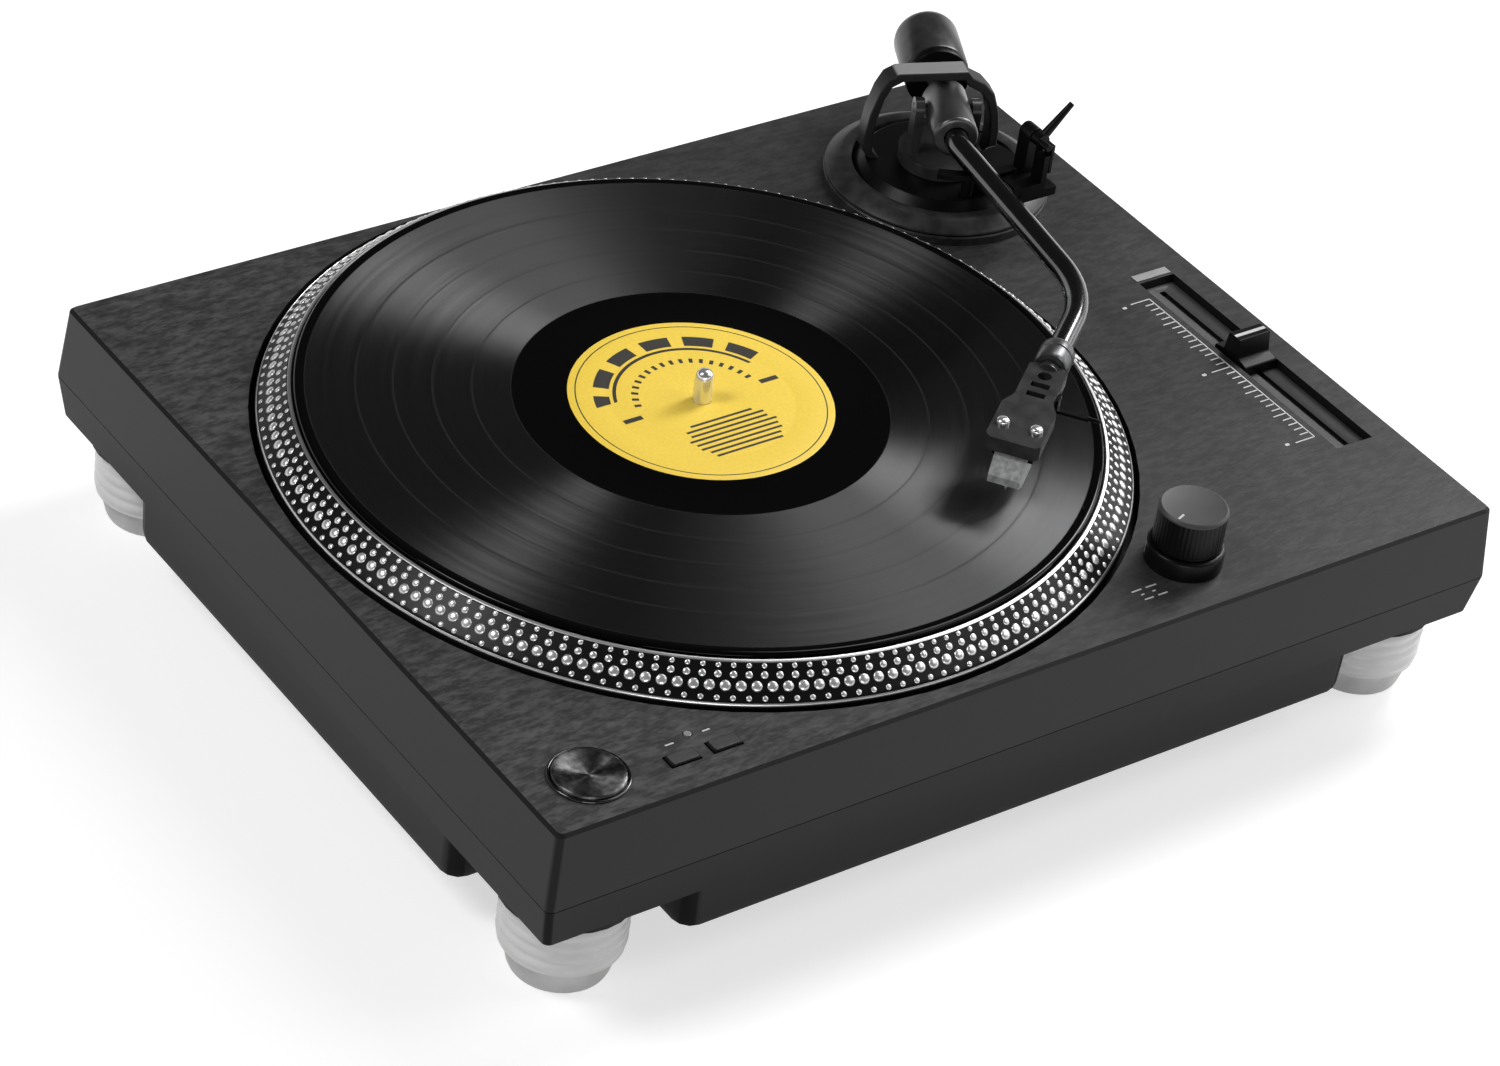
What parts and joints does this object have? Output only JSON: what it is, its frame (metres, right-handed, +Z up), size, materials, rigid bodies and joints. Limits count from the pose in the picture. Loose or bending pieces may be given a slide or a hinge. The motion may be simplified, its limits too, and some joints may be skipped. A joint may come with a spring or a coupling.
{
  "type": "record player",
  "caption": "Direct-drive record player with a platter and record, an S-shaped tonearm on a height-adjustable base, a pitch fader, push buttons, a power knob and isolating feet.",
  "frame": {"origin": "middle of the lowest plane of the whole object, at the level of the undersides of its feet", "axes": "+X to the right along the long front edge, +Y to the back, +Z up"},
  "size_m": [0.4256, 0.346, 0.1425],
  "materials": {
    "deck_paint": "dark grey satin with a fine grain",
    "base_shell": "dark grey, fine matt grain",
    "foot_clear": "pale grey, slightly see-through",
    "foot_rubber": "grey, matt",
    "black_plastic": "black, satin",
    "gloss_black": "black, polished",
    "dark_metal": "dark grey metallic paint",
    "silver_metal": "bright satin",
    "steel": "plain",
    "aluminium": "turned",
    "brass": "turned",
    "copper_wire": "enamelled windings",
    "ferrite": "dull",
    "felt": "felt",
    "vinyl": "black, grooved",
    "label_paper": "printed yellow paper",
    "board": "coated laminate",
    "lens": "clear"
  },
  "bodies": {
    "cabinet": {"top_cabinet": "deck_paint", "bottom_base": "base_shell", "foot_front_left": "foot_clear", "foot_front_right": "foot_clear", "foot_back_left": "foot_clear", "foot_back_right": "foot_clear", "foot_pad_front_left": "foot_rubber", "foot_pad_front_right": "foot_rubber", "foot_pad_back_left": "foot_rubber", "foot_pad_back_right": "foot_rubber", "motor_plate": "steel", "bearing_housing": "brass", "stator_core": "ferrite", "stator_winding": "copper_wire", "start_stop_bezel": "gloss_black", "start_stop_switch": "black_plastic", "speed_switch_33": "black_plastic", "speed_switch_45": "black_plastic", "speed_led": "lens", "button_board": "board", "strobe_tower": "black_plastic", "strobe_lens": "lens", "power_switch": "dark_metal", "pitch_fader_body": "steel", "arm_base_collar": "deck_paint", "jack_panel": "steel", "ground_post": "brass", "power_inlet": "black_plastic", "main_board": "board", "power_transformer": "steel"},
    "platter_assembly": {"platter": "aluminium", "slipmat": "felt", "record": "vinyl", "record_label": "label_paper", "spindle": "silver_metal", "rotor_magnet": "ferrite"},
    "start_stop_button": {"start_stop_button": "gloss_black"},
    "speed_button_33": {"speed_button_33": "black_plastic"},
    "speed_button_45": {"speed_button_45": "black_plastic"},
    "power_knob": {"power_knob": "black_plastic"},
    "pitch_fader_knob": {"pitch_fader_knob": "black_plastic"},
    "height_ring": {"height_ring": "deck_paint"},
    "arm_base": {"arm_turret": "dark_metal", "arm_arch": "dark_metal", "arm_rest": "black_plastic", "cue_post": "black_plastic"},
    "anti_skate_dial": {"anti_skate_dial": "dark_metal"},
    "rest_clip": {"rest_clip": "black_plastic"},
    "cue_lever": {"cue_lever": "black_plastic"},
    "cue_lift": {"cue_lift": "dark_metal"},
    "yoke": {"gimbal_yoke": "dark_metal"},
    "tonearm": {"pivot_block": "silver_metal", "arm_tube": "silver_metal", "headshell": "dark_metal", "finger_lift": "black_plastic", "cartridge": "black_plastic", "stylus": "silver_metal"},
    "force_dial": {"force_dial": "silver_metal"},
    "counterweight": {"counterweight": "steel"},
    "headshell_collar": {"headshell_collar": "silver_metal"}
  },
  "joints": [
    {"name": "platter_spin", "type": "hinge", "parent": "cabinet", "child": "platter_assembly", "pos_m": [-0.03675, 0.0025, 0.0857], "axis": [0, 0, 1], "continuous": true},
    {"name": "start_stop_press", "type": "slide", "parent": "cabinet", "child": "start_stop_button", "axis": [0, 0, -1], "range_m": [0, 0.0015], "stiffness_N_per_m": 400, "springref_m": -0.001},
    {"name": "speed_33_press", "type": "slide", "parent": "cabinet", "child": "speed_button_33", "axis": [0, 0, -1], "range_m": [0, 0.001], "stiffness_N_per_m": 300, "springref_m": -0.001},
    {"name": "speed_45_press", "type": "slide", "parent": "cabinet", "child": "speed_button_45", "axis": [0, 0, -1], "range_m": [0, 0.001], "stiffness_N_per_m": 300, "springref_m": -0.001},
    {"name": "power_knob_turn", "type": "hinge", "parent": "cabinet", "child": "power_knob", "pos_m": [0.08075, -0.1425, 0.0857], "axis": [0, 0, 1], "range_deg": [0, 60]},
    {"name": "pitch_slide", "type": "slide", "parent": "cabinet", "child": "pitch_fader_knob", "axis": [0, 1, 0], "range_m": [-0.055, 0.0448]},
    {"name": "height_ring_turn", "type": "hinge", "parent": "cabinet", "child": "height_ring", "pos_m": [0.14825, 0.1025, 0.0857], "axis": [0, 0, 1], "range_deg": [0, 180]},
    {"name": "arm_height", "type": "slide", "parent": "cabinet", "child": "arm_base", "axis": [0, 0, 1], "range_m": [0, 0.006]},
    {"name": "anti_skate_turn", "type": "hinge", "parent": "arm_base", "child": "anti_skate_dial", "pos_m": [0.16725, 0.08919, 0.0967], "axis": [0, 0, 1], "range_deg": [0, 300]},
    {"name": "rest_clip_swing", "type": "hinge", "parent": "arm_base", "child": "rest_clip", "pos_m": [0.15755, 0.0525, 0.1307], "axis": [0, -1, 0], "range_deg": [0, 245]},
    {"name": "tonearm_swing", "type": "hinge", "parent": "arm_base", "child": "yoke", "pos_m": [0.14825, 0.1025, 0.0857], "axis": [0, 0, 1], "range_deg": [-16, 18.5]},
    {"name": "tonearm_lift", "type": "hinge", "parent": "yoke", "child": "tonearm", "pos_m": [0.14825, 0.1025, 0.1212], "axis": [-0.8902, 0.4555, 0], "range_deg": [0, 3.15]},
    {"name": "cue_lever_turn", "type": "hinge", "parent": "arm_base", "child": "cue_lever", "pos_m": [0.16145, 0.0655, 0.1282], "axis": [0, -1, 0], "range_deg": [0, 50]},
    {"name": "cue_lift_rise", "type": "slide", "parent": "arm_base", "child": "cue_lift", "axis": [0, 0, 1], "range_m": [0, 0.0022]},
    {"name": "weight_travel", "type": "slide", "parent": "tonearm", "child": "force_dial", "axis": [-0.4555, -0.8902, 0], "range_m": [-0.003, 0.003]},
    {"name": "weight_turn", "type": "hinge", "parent": "force_dial", "child": "counterweight", "pos_m": [0.14825, 0.1025, 0.1212], "axis": [-0.4555, -0.8902, 0], "range_deg": [-360, 360]},
    {"name": "headshell_collar_turn", "type": "hinge", "parent": "tonearm", "child": "headshell_collar", "pos_m": [0.08063, -0.05659, 0.1212], "axis": [-0.7934, -0.6088, 0], "range_deg": [0, 90]}
  ],
  "couplings": [
    {"joint": "arm_height", "follows": "height_ring_turn", "m_per_rad": 0.0019098},
    {"joint": "cue_lever_turn", "follows": "tonearm_lift", "ratio": 15.873},
    {"joint": "cue_lift_rise", "follows": "tonearm_lift", "m_per_rad": 0.040015},
    {"joint": "weight_travel", "follows": "weight_turn", "m_per_rad": 0.00047746}
  ]
}
